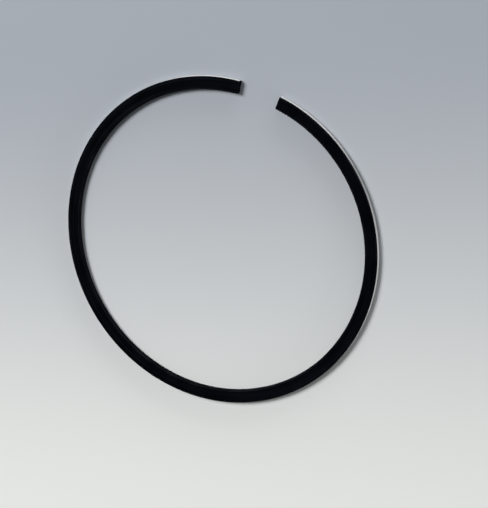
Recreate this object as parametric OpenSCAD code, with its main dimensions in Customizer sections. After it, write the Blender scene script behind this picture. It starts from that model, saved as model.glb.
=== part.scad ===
// Compression ring for a piston, sprung open as it lies on the bench before it is fitted.
// Plain rectangular section, barrel running face, straight butt gap. The gap points along +Y.

/* [Ring] */
// Nominal diameter of the cylinder that the ring closes up into
bore_d = 85; // [60:0.5:120]
// Radial thickness of the section
radial_t = 3.5; // [2:0.05:5]
// Axial width of the section, from side face to side face
axial_w = 1.5; // [1:0.05:4]

/* [Gap] */
// Gap between the ends of the free ring, measured along the middle of the section
free_gap = 11.25; // [4:0.25:20]
// Gap that is left between the ends when the ring is closed up in its cylinder
closed_gap = 0.3; // [0.1:0.05:1]

/* [Running face] */
// How far the barrel face stands proud in the middle of its width
face_crown = 0.02; // [0.005:0.005:0.1]

/* [Edges] */
// Edge break along both edges of the running face
outer_break = 0.2; // [0.05:0.01:0.4]
// Edge break along both edges of the inner face
inner_break = 0.25; // [0.05:0.01:0.4]
// Edge break down the corners of the two butt ends
end_break = 0.15; // [0.05:0.01:0.4]

/* [Hidden] */
$fn = 240;

half_t = radial_t / 2;
half_w = axial_w / 2;

// A drawing gives radii to the whole micrometre, and so the arcs below meet exactly.
function to_micron(length) = round(length * 1000) / 1000;

// Middle line of the closed ring: its radius and half its length, from the back to one end.
closed_r = (bore_d - radial_t) / 2;
half_length = PI * closed_r - closed_gap / 2;

// A ring that presses evenly on its cylinder is bent open by a share of its curvature that
// falls off as 1 + cos(angle from the back). Averaged over the back half of the ring and over
// its front half, that gives two radii, which meet in line with each other at the sides.
function back_radius(spring) = closed_r / (1 - spring * (1 + 2 / PI));
function front_radius(spring) = closed_r / (1 - spring * (1 - 2 / PI));
function front_turn(spring) =
    (half_length - PI / 2 * back_radius(spring)) / front_radius(spring) * 180 / PI;
function gap_at(spring) =
    2 * (back_radius(spring) - front_radius(spring) * (1 - cos(front_turn(spring))));

// The share that opens the ends to the free gap, found by repeated correction.
gap_per_spring = 3 * PI * closed_r;
function solve_spring(spring, passes) =
    passes == 0 ? spring
    : solve_spring(spring + (free_gap - gap_at(spring)) / gap_per_spring, passes - 1);
spring = solve_spring((free_gap - closed_gap) / gap_per_spring, 8);

back_r = to_micron(back_radius(spring));
front_r = to_micron(front_radius(spring));
front_angle = front_turn(spring);
center_shift = back_r - front_r;

// How far the outline reaches from the plane of the centres: to the back, and to the ends.
back_reach = back_r + half_t;
front_reach = (front_r + half_t) * sin(front_angle) - end_break * cos(front_angle);

// Barrel arc: through the middle of the running face, lower by the crown at both side faces.
crown_r = (half_w * half_w + face_crown * face_crown) / (2 * face_crown);

// Section of the ring about its own middle line, x outwards and y up from the lower side face.
module section() {
    intersection() {
        polygon([
            [-half_t + inner_break, 0],
            [half_t - outer_break, 0],
            [half_t, outer_break],
            [half_t, axial_w - outer_break],
            [half_t - outer_break, axial_w],
            [-half_t + inner_break, axial_w],
            [-half_t, axial_w - inner_break],
            [-half_t, inner_break]
        ]);
        translate([half_t - crown_r, half_w])
            circle(r = crown_r);
    }
}

// Arc of the ring with its middle line at the given radius, round the vertical axis.
module arc(middle_r, start_angle, angle) {
    rotate_extrude(angle = angle, start = start_angle)
        translate([middle_r, 0])
            section();
}

// Square bar that breaks one upright corner of a butt end.
module corner_cut(corner_r) {
    side = end_break * sqrt(2);
    translate([corner_r, 0, half_w])
        rotate([0, 0, 45])
            cube([side, side, 2 * axial_w], center = true);
}

// Front arc on the +X side, from the side of the ring to its butt end.
module front_arc() {
    translate([center_shift, 0, 0])
        difference() {
            arc(front_r, 0, front_angle);
            rotate([0, 0, front_angle])
                for (side = [-1, 1])
                    corner_cut(front_r + side * half_t);
        }
}

// The whole ring in one piece. It lies on its lower side face, with its outline centred.
module compression_ring() {
    color([0.07, 0.07, 0.08])
        translate([0, (back_reach - front_reach) / 2, 0]) {
            arc(back_r, 180, 180);
            front_arc();
            mirror([1, 0, 0])
                front_arc();
        }
}

compression_ring();
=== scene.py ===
"""A piston's compression ring, sprung open on a pale bench, with a camera that looks down on it."""
import math
from types import SimpleNamespace

import bpy
import numpy as np
from mathutils import Matrix, Vector


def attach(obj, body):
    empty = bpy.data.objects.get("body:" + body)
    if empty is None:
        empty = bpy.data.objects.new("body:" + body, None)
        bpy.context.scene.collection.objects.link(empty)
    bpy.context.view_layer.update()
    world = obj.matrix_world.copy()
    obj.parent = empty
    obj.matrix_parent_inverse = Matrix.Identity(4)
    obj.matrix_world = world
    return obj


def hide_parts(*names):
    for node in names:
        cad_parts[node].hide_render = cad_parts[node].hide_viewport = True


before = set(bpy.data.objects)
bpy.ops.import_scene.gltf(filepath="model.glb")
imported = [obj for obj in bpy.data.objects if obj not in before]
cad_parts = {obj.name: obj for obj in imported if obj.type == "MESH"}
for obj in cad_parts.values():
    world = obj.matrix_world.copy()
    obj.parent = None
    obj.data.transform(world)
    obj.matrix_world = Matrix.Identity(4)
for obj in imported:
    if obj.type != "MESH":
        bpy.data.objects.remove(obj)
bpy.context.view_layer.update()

MM = 0.001

# The ring as it is ground, with the same sizes as its solid
BORE_D = 85 * MM
RADIAL_T = 3.5 * MM
AXIAL_W = 1.5 * MM
FREE_GAP = 11.25 * MM
CLOSED_GAP = 0.3 * MM
FACE_CROWN = 0.02 * MM
OUTER_BREAK = 0.2 * MM
INNER_BREAK = 0.25 * MM
END_BREAK = 0.15 * MM
# Radius that tumbling leaves on every long edge
EDGE_RADIUS = 0.03 * MM

HALF_T = RADIAL_T / 2
HALF_W = AXIAL_W / 2
CROWN_R = (HALF_W ** 2 + FACE_CROWN ** 2) / (2 * FACE_CROWN)

# How finely the skin is divided
STATION_STEP = 0.3 * MM
CORNER_POINTS = 4
FLAT_POINTS = 5
BREAK_STATIONS = 3
CAP_SCALES = (0.85, 0.45)

# The bake map: the unrolled skin cut into rows on a square sheet, with the butt ends on a last row
BAKE_ROWS = 5
BAKE_SPACE = 0.6 * MM

# The camera: the point that it looks at, its distance, its turns in degrees, its lens and its nearest view
AIM = Vector((7.781, -0.043, 0.633)) * MM
CAMERA_DISTANCE = 508.17 * MM
CAMERA_AZIMUTH = 49.96
CAMERA_ELEVATION = 62.14
CAMERA_ROLL = 120.63
FOCAL_PX = 1944
FRAME_LONG_PX = 508
SENSOR_MM = 36
CLIP_START = 10 * MM


def free_shape():
    """Radii of the back and front arcs of the ring's middle line, and the turn of a front arc in radians.

    A ring that presses evenly is bent open by a share of its curvature that falls off as
    1 + cos(angle from the back). Its mean over the back half and over the front half gives the two radii,
    and repeated correction finds the share that sets the ends a free gap apart."""
    closed_r = (BORE_D - RADIAL_T) / 2
    half_length = math.pi * closed_r - CLOSED_GAP / 2
    gap_per_share = 3 * math.pi * closed_r
    correction_rounds = 8

    def arcs(share):
        back_r = closed_r / (1 - share * (1 + 2 / math.pi))
        front_r = closed_r / (1 - share * (1 - 2 / math.pi))
        return back_r, front_r, (half_length - math.pi / 2 * back_r) / front_r

    share = (FREE_GAP - CLOSED_GAP) / gap_per_share
    for _ in range(correction_rounds):
        back_r, front_r, turn = arcs(share)
        gap = 2 * (back_r - front_r * (1 - math.cos(turn)))
        share += (FREE_GAP - gap) / gap_per_share
    return arcs(share)


BACK_R, FRONT_R, FRONT_TURN = free_shape()
SIDE_LENGTH = math.pi / 2 * BACK_R
HALF_LENGTH = SIDE_LENGTH + FRONT_R * FRONT_TURN
CENTER_SHIFT = BACK_R - FRONT_R
BACK_REACH = BACK_R + HALF_T
FRONT_REACH = (FRONT_R + HALF_T) * math.sin(FRONT_TURN) - END_BREAK * math.cos(FRONT_TURN)
CENTERS_Y = (BACK_REACH - FRONT_REACH) / 2


def middle_line(along):
    """Points and outward directions of the middle line, at lengths along it from the back of the ring.

    The back half is one arc. From its two sides on, arcs of the front radius go on in line with it, with
    their centres moved sideways by the difference of the radii. Positive lengths run to the +X end."""
    side = np.where(along < 0, -1.0, 1.0)
    length = np.abs(along)
    front = length > SIDE_LENGTH
    turn = np.where(front, math.pi / 2 + (length - SIDE_LENGTH) / FRONT_R, length / BACK_R)
    outward = np.stack([side * np.sin(turn), -np.cos(turn)], axis=-1)
    center = np.stack([np.where(front, side * CENTER_SHIFT, 0), np.full_like(turn, CENTERS_Y)], axis=-1)
    return center + np.where(front, FRONT_R, BACK_R)[:, None] * outward, outward


def unit(angle):
    """Directions in the section at angles from outwards towards up."""
    return np.stack([np.cos(angle), np.sin(angle)], axis=-1)


def barrel_x(height):
    """Reach of the running face at a height: an arc of the crown's radius, fullest at half the width."""
    return HALF_T - CROWN_R + np.sqrt(CROWN_R ** 2 - (height - HALF_W) ** 2)


def section():
    """The ring's section, taken round from the lower side face by way of the running face.

    Eight corners of a rectangle with broken edges. Each corner is an arc of the edge radius between the
    normals of its two sides, and between the arcs lie points that crowd towards them as a cosine does.
    On the running face the points stand on the barrel arc, and their normals lean with it."""
    sunk = HALF_T - barrel_x(OUTER_BREAK)
    rim = OUTER_BREAK - sunk
    corner = np.array([
        [INNER_BREAK - HALF_T, 0],
        [HALF_T - OUTER_BREAK, 0],
        [HALF_T - sunk, rim],
        [HALF_T - sunk, AXIAL_W - rim],
        [HALF_T - OUTER_BREAK, AXIAL_W],
        [INNER_BREAK - HALF_T, AXIAL_W],
        [-HALF_T, AXIAL_W - INNER_BREAK],
        [-HALF_T, INNER_BREAK],
    ])
    # The running face leaves this corner and arrives at the next
    running = 2
    along_side = np.roll(corner, -1, axis=0) - corner
    leaving = np.arctan2(-along_side[:, 0], along_side[:, 1])
    arriving = np.roll(leaving, 1)
    lean = math.asin((HALF_W - rim) / CROWN_R)
    leaving[running] = -lean
    arriving[running + 1] = lean
    bend = (leaving - arriving) % (2 * math.pi)

    # The centre of a corner's arc lies an edge radius inside both of its sides
    both = unit(arriving) + unit(leaving)
    center = corner - 2 * EDGE_RADIUS * both / (both ** 2).sum(axis=1, keepdims=True)
    arc_normal = unit(arriving[:, None] + bend[:, None] * np.linspace(0, 1, CORNER_POINTS))
    arc = center[:, None] + EDGE_RADIUS * arc_normal

    step = (1 - np.cos(np.linspace(0, math.pi, FLAT_POINTS + 2)[1:-1, None])) / 2
    start = arc[:, -1:]
    end = np.roll(arc[:, :1], -1, axis=0)
    flat = start + (end - start) * step
    flat_normal = np.repeat(unit(leaving)[:, None], FLAT_POINTS, axis=1)
    height = flat[running, :, 1]
    flat[running, :, 0] = barrel_x(height)
    flat_normal[running] = unit(np.arcsin((height - HALF_W) / CROWN_R))

    point = np.concatenate([arc, flat], axis=1).reshape(-1, 2)
    normal = np.concatenate([arc_normal, flat_normal], axis=1).reshape(-1, 2)
    stretch = np.linalg.norm(np.roll(point, -1, axis=0) - point, axis=1)
    per_side = CORNER_POINTS + FLAT_POINTS
    number = np.arange(len(point))
    past_rim = number - running * per_side - CORNER_POINTS // 2 + 1
    return SimpleNamespace(
        point=point,
        normal=normal,
        around=np.append(0, np.cumsum(stretch)),
        on_edge=number % per_side < CORNER_POINTS,
        bright=(past_rim >= 0) & (past_rim < per_side),
    )


def stations():
    """Lengths along the ring at which its section stands, and the scale of the section there.

    Even steps over the body, a few more over the edge break of each end, and cap rings that shrink
    towards the middle of the butt end."""
    body = HALF_LENGTH - END_BREAK
    count = round(2 * body / STATION_STEP) + 1
    into_break = np.linspace(body, HALF_LENGTH, BREAK_STATIONS + 1)[1:]
    tail = np.append(into_break, np.full(len(CAP_SCALES), HALF_LENGTH))
    shrunk = np.append(np.ones(BREAK_STATIONS), CAP_SCALES)
    return SimpleNamespace(
        along=np.concatenate([-tail[::-1], np.linspace(-body, body, count), tail]),
        scale=np.concatenate([shrunk[::-1], np.ones(count), shrunk]),
        body=body,
        tail=len(tail),
        count=count + 2 * len(tail),
    )


def ring_mesh():
    """The ring's skin as one closed grid, of lengths along the ring by places round its section.

    A point is the middle line's point, plus the section's x outwards and its y upwards. Over the edge break
    of each end the section is held in by as much as the length has gone into the break, which makes the
    45 degree faces. The cap rings shrink it towards its middle, and a single point closes the butt end."""
    cut = section()
    row = stations()
    places = len(cut.point)
    spot, outward = middle_line(row.along)
    held = HALF_T - np.maximum(np.abs(row.along) - row.body, 0)[:, None]
    x = np.clip(cut.point[:, 0], -held, held) * row.scale[:, None]
    z = HALF_W + (cut.point[:, 1] - HALF_W) * row.scale[:, None]
    skin = np.dstack([spot[:, None] + x[..., None] * outward[:, None], z])
    tips = np.column_stack([spot[[0, -1]], [HALF_W, HALF_W]])
    vertices = np.concatenate([skin.reshape(-1, 3), tips])

    # Four-sided faces between neighbouring stations, then three-sided ones round the two tips
    from_row, from_place = np.indices((row.count - 1, places)).reshape(2, -1)
    face_row = from_row[:, None] + [0, 1, 1, 0]
    face_place = from_place[:, None] + [0, 0, 1, 1]
    quads = face_row * places + face_place % places
    first_round = (np.arange(places)[:, None] + [0, 1]) % places
    last_round = first_round[:, ::-1] + (row.count - 1) * places
    first_tip = row.count * places
    fans = np.concatenate([
        np.insert(first_round, 0, first_tip, axis=1),
        np.insert(last_round, 0, first_tip + 1, axis=1),
    ])
    mesh = bpy.data.meshes.new("compression_ring_skin")
    mesh.from_pydata(vertices.tolist(), [], quads.tolist() + fans.tolist())

    # Normals follow the section on the body, and are flat on the end breaks and the butt ends
    on_body = (from_row >= row.tail) & (from_row < row.count - 1 - row.tail)
    smooth = np.dstack([
        cut.normal[:, 0] * outward[:, :1],
        cut.normal[:, 0] * outward[:, 1:],
        np.tile(cut.normal[:, 1], (row.count, 1)),
    ]).reshape(-1, 3)
    normal = np.where(on_body[:, None, None], smooth[quads], flat_normals(vertices[quads]))
    corner_normals = np.concatenate([normal.reshape(-1, 3), flat_normals(vertices[fans]).reshape(-1, 3)])
    mesh.normals_split_custom_set(corner_normals.tolist())

    # Length map: metres along the ring and round its section, or across and up a butt end
    on_cap = (from_row < len(CAP_SCALES)) | (from_row >= row.count - 1 - len(CAP_SCALES))
    on_cap = on_cap[:, None, None]
    unrolled = np.stack([row.along[face_row], cut.around[face_place]], axis=-1)
    across_end = np.append(np.stack([x, z], axis=-1).reshape(-1, 2), [[0, HALF_W], [0, HALF_W]], axis=0)
    store_map(mesh, "skin_length", np.where(on_cap, across_end[quads], unrolled), across_end[fans])

    # Bake map: the unrolled skin in rows above each other, and the two butt ends above them
    bake_row = from_row * BAKE_ROWS // (row.count - 1)
    row_start = row.along[from_row[np.searchsorted(bake_row, bake_row)]]
    row_height = cut.around[-1] + BAKE_SPACE
    strip = unrolled + np.stack([-row_start, bake_row * row_height], axis=-1)[:, None] + BAKE_SPACE
    second_end = vertices[:, 0] > 0
    end_corner = np.array([HALF_T + BAKE_SPACE, BAKE_ROWS * row_height + BAKE_SPACE])
    end_at = across_end + end_corner + second_end[:, None] * [RADIAL_T + BAKE_SPACE, 0]
    sheet_width = 2 * HALF_LENGTH / BAKE_ROWS + 3 * BAKE_SPACE
    sheet_height = end_corner[1] + AXIAL_W + BAKE_SPACE
    sheet = max(sheet_width, sheet_height)
    store_map(mesh, "OFBake", np.where(on_cap, end_at[quads], strip) / sheet, end_at[fans] / sheet)

    bright = np.append(cut.bright[from_place] & on_body, np.zeros(len(fans), bool))
    mesh.polygons.foreach_set("material_index", bright.astype(np.int32))
    end_edge = (np.abs(row.along) == HALF_LENGTH)[:, None]
    whole = (row.scale == 1)[:, None]
    edge = (cut.on_edge | end_edge) & whole
    mesh.attributes.new("edge", "FLOAT", "POINT").data.foreach_set("value", np.append(edge, [0.0, 0.0]))
    mesh.update()
    return mesh


def flat_normals(corners):
    """Each face's own normal, at right angles to two lines across it, for each of its corners."""
    normal = np.cross(corners[:, 2] - corners[:, 0], corners[:, -1] - corners[:, 1])
    normal /= np.linalg.norm(normal, axis=1, keepdims=True)
    return np.repeat(normal[:, None], corners.shape[1], axis=1)


def store_map(mesh, name, quad_places, fan_places):
    """Writes a UV map from the places of the four-sided faces' corners, then of the three-sided ones'."""
    values = np.append(quad_places.reshape(-1), fan_places.reshape(-1))
    mesh.uv_layers.new(name=name).data.foreach_set("uv", values)


class Finish:
    """A material in the making: its shader, and short ways to add the nodes that feed it."""

    def __init__(self, name):
        self.material = bpy.data.materials.new(name)
        self.material.use_nodes = True
        self.tree = self.material.node_tree
        self.shader = self.tree.nodes["Principled BSDF"]

    def feed(self, socket, value):
        """Joins a socket to an output, or sets it to a number, a vector or a colour."""
        if isinstance(value, bpy.types.NodeSocket):
            self.tree.links.new(value, socket)
        else:
            socket.default_value = value

    def add(self, kind, inputs, **settings):
        """A node with its settings, and its inputs given by name or number."""
        node = self.tree.nodes.new(kind)
        for key, value in settings.items():
            setattr(node, key, value)
        for key, value in inputs.items():
            self.feed(node.inputs[key], value)
        return node

    def place(self):
        """The point on the piece, in metres."""
        return self.add("ShaderNodeTexCoord", {}).outputs["Object"]

    def skin(self):
        """The length along the ring and the length round its section, in metres."""
        return self.add("ShaderNodeUVMap", {}, uv_map="skin_length").outputs["UV"]

    def noise(self, where, per_metre, detail, roughness):
        """Cloudy noise from 0 to 1, with so many lumps per metre along each of the three directions."""
        stretched = self.add("ShaderNodeMapping", {"Vector": where, "Scale": per_metre}).outputs["Vector"]
        inputs = {"Vector": stretched, "Scale": 1, "Detail": detail, "Roughness": roughness}
        return self.add("ShaderNodeTexNoise", inputs).outputs["Fac"]

    def ramp(self, value, low, high, out_low=0, out_high=1):
        """The value taken smoothly from one range to another, and held at its ends."""
        inputs = {"Value": value, "From Min": low, "From Max": high, "To Min": out_low, "To Max": out_high}
        return self.add("ShaderNodeMapRange", inputs, interpolation_type="SMOOTHSTEP").outputs["Result"]

    def maths(self, operation, first, second):
        """Two values or numbers, put together by an operation."""
        return self.add("ShaderNodeMath", {0: first, 1: second}, operation=operation).outputs["Value"]

    def mix(self, share, first, second):
        """Two colours, mixed by a share."""
        node = self.add("ShaderNodeMix", {}, data_type="RGBA")
        sockets = {socket.identifier: socket for socket in node.inputs}
        self.feed(sockets["Factor_Float"], share)
        self.feed(sockets["A_Color"], first)
        self.feed(sockets["B_Color"], second)
        return next(socket for socket in node.outputs if socket.identifier == "Result_Color")

    def bump(self, height, distance):
        """Relief of the given depth in metres, from a height between 0 and 1."""
        relief = self.add("ShaderNodeBump", {"Height": height, "Distance": distance})
        self.feed(self.shader.inputs["Normal"], relief.outputs["Normal"])

    def shade(self, **sockets):
        """Sets the shader's sockets, named as Blender names them but with low dashes for spaces."""
        for name, value in sockets.items():
            self.feed(self.shader.inputs[name.replace("_", " ")], value)


def tone(red, green, blue):
    """A colour as the shader's sockets take it, from its linear shares."""
    return (red, green, blue, 1)


def black_phosphate():
    """Blue-black phosphate coat, worn on the edges: crystal grain over grinding streaks round the ring."""
    coat = Finish("black_phosphate")
    crystal = coat.noise(coat.place(), per_metre=(24000, 24000, 24000), detail=3, roughness=0.5)
    cloud = coat.noise(coat.place(), per_metre=(170, 170, 170), detail=3, roughness=0.6)
    streak = coat.noise(coat.skin(), per_metre=(14, 2600, 1), detail=4, roughness=0.62)
    line = coat.noise(coat.skin(), per_metre=(90, 16000, 1), detail=3, roughness=0.6)
    edge = coat.add("ShaderNodeAttribute", {}, attribute_name="edge").outputs["Fac"]

    deep = tone(0.0006, 0.0008, 0.0014)
    cloudy = tone(0.0018, 0.0021, 0.0034)
    pale = tone(0.0075, 0.0092, 0.0142)
    bare_iron = tone(0.05, 0.05, 0.052)
    color = coat.mix(coat.ramp(cloud, 0.3, 0.7), deep, cloudy)
    color = coat.mix(coat.ramp(streak, 0.48, 0.72, out_high=0.8), color, pale)
    color = coat.mix(coat.ramp(line, 0.55, 0.8, out_high=0.35), color, pale)
    wear = coat.ramp(cloud, 0.4, 0.75, out_low=0.1, out_high=0.6)
    worn = coat.maths("MULTIPLY", coat.ramp(edge, 0.5, 1), wear)
    grain = coat.ramp(crystal, 0.3, 0.7, out_low=0.46, out_high=0.56)
    polish = coat.ramp(streak, 0.4, 0.75, out_low=0.03, out_high=-0.08)
    coat.shade(
        Base_Color=coat.mix(worn, color, bare_iron),
        Roughness=coat.maths("ADD", grain, polish),
        Specular_IOR_Level=0.008,
    )
    relief = coat.maths("ADD", coat.maths("MULTIPLY", crystal, 0.6), coat.maths("MULTIPLY", line, 0.4))
    coat.bump(relief, distance=0.0025 * MM)
    return coat.material


def lapped_face():
    """Bright lapped running face, with grey bands and fine lines that spread the light up and down."""
    face = Finish("lapped_face")
    line = face.noise(face.skin(), per_metre=(30, 18000, 1), detail=3, roughness=0.65)
    band = face.noise(face.skin(), per_metre=(70, 2200, 1), detail=2, roughness=0.5)
    bright = tone(0.66, 0.66, 0.65)
    grey = tone(0.52, 0.52, 0.52)
    scored = tone(0.36, 0.36, 0.37)
    color = face.mix(face.ramp(band, 0.35, 0.7), bright, grey)
    color = face.mix(face.ramp(line, 0.55, 0.8, out_high=0.5), color, scored)
    round_ring = face.add("ShaderNodeTangent", {}, direction_type="UV_MAP", uv_map="skin_length")
    face.shade(
        Base_Color=color,
        Metallic=1,
        Roughness=face.ramp(line, 0.3, 0.7, out_low=0.5, out_high=0.6),
        Anisotropic=0.83,
        Anisotropic_Rotation=0.25,
        Tangent=round_ring.outputs["Tangent"],
    )
    face.bump(line, distance=0.002 * MM)
    return face.material


def ring():
    """The ring's skin, which stands for its solid."""
    piece = bpy.data.objects.new("compression_ring_skin", ring_mesh())
    bpy.context.scene.collection.objects.link(piece)
    piece.data.materials.append(black_phosphate())
    piece.data.materials.append(lapped_face())
    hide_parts("compression_ring")
    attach(piece, "root")


def bench():
    """Pale bench top under the ring: white in front, painted shade of soft grey blue from the ring's middle
    on.
    """
    reach = 2.0
    fade_turn = math.radians(-22.7)
    fade_start = -90 * MM
    fade_end = 60 * MM
    white = tone(0.88, 0.89, 0.86)
    # Painted shade: the bench is coloured grey blue towards the back, for light that falls off there.
    painted_shade_grey_blue = tone(0.37, 0.40, 0.45)
    mesh = bpy.data.meshes.new("bench_top")
    corners = [(-reach, -reach, 0), (reach, -reach, 0), (reach, reach, 0), (-reach, reach, 0)]
    mesh.from_pydata(corners, [], [(0, 1, 2, 3)])
    top = bpy.data.objects.new("bench_top", mesh)
    bpy.context.scene.collection.objects.link(top)
    paint_and_shade = Finish("bench_paint_and_shade")
    turned = paint_and_shade.add("ShaderNodeMapping", {"Vector": paint_and_shade.place(), "Rotation": (0, 0, fade_turn)})
    away = paint_and_shade.add("ShaderNodeSeparateXYZ", {"Vector": turned.outputs["Vector"]}).outputs["Y"]
    # Painted shade: the colour goes from the white to the grey blue away from the front.
    color = paint_and_shade.mix(paint_and_shade.ramp(away, fade_start, fade_end), white, painted_shade_grey_blue)
    paint_and_shade.shade(Base_Color=color, Roughness=0.6)
    mesh.materials.append(paint_and_shade.material)


def direction(azimuth, elevation):
    """Direction from the ring at an azimuth from +X towards +Y and an elevation, both in degrees."""
    turn, rise = math.radians(azimuth), math.radians(elevation)
    return Vector((math.cos(rise) * math.cos(turn), math.cos(rise) * math.sin(turn), math.sin(rise)))


def soft_box(name, azimuth, elevation, distance, width, height, power):
    """Oblong lamp that faces the middle of the ring, with its width level."""
    toward = direction(azimuth, elevation)
    data = bpy.data.lights.new(name, "AREA")
    data.shape = "RECTANGLE"
    data.size = width
    data.size_y = height
    data.energy = power
    lamp = bpy.data.objects.new(name, data)
    lamp.location = distance * toward
    lamp.rotation_euler = toward.to_track_quat("Z", "Y").to_euler()
    bpy.context.scene.collection.objects.link(lamp)


def lamps():
    """A large soft box from the left, and two low strips that draw the bright line of the running face.

    One strip stands beyond the gap, and the other on the right."""
    soft_box("key_box", azimuth=160, elevation=48, distance=2.4, width=1.1, height=1.1, power=58)
    soft_box("gap_strip", azimuth=86, elevation=8, distance=2.2, width=2.4, height=0.4, power=27)
    soft_box("side_strip", azimuth=0, elevation=6, distance=2.2, width=3.0, height=0.32, power=25)


def room():
    """Soft light from all round, strongest at the horizon and nearly dark overhead."""
    horizon = 0.35
    overhead = 0.04
    overhead_from = 0.8
    cool_white = tone(0.95, 0.98, 1.0)
    world = bpy.data.worlds.new("room")
    world.use_nodes = True
    nodes, links = world.node_tree.nodes, world.node_tree.links
    toward = nodes.new("ShaderNodeTexCoord")
    height = nodes.new("ShaderNodeSeparateXYZ")
    fade = nodes.new("ShaderNodeMapRange")
    fade.inputs["From Max"].default_value = overhead_from
    fade.inputs["To Min"].default_value = horizon
    fade.inputs["To Max"].default_value = overhead
    links.new(toward.outputs["Generated"], height.inputs["Vector"])
    links.new(height.outputs["Z"], fade.inputs["Value"])
    links.new(fade.outputs["Result"], nodes["Background"].inputs["Strength"])
    nodes["Background"].inputs["Color"].default_value = cool_white
    bpy.context.scene.world = world


def camera():
    """Camera that looks down on the ring, rolled so that the frame stands as the photograph does."""
    back = direction(CAMERA_AZIMUTH, CAMERA_ELEVATION)
    data = bpy.data.cameras.new("camera")
    data.sensor_width = SENSOR_MM
    data.lens = FOCAL_PX * SENSOR_MM / FRAME_LONG_PX
    data.clip_start = CLIP_START
    eye = bpy.data.objects.new("camera", data)
    level = back.to_track_quat("Z", "Y").to_matrix().to_4x4()
    rolled = Matrix.Rotation(math.radians(-CAMERA_ROLL), 4, back) @ level
    eye.matrix_world = Matrix.Translation(AIM + CAMERA_DISTANCE * back) @ rolled
    bpy.context.scene.collection.objects.link(eye)
    bpy.context.scene.camera = eye


ring()
bench()
lamps()
room()
camera()
bpy.context.scene.view_settings.view_transform = "Standard"
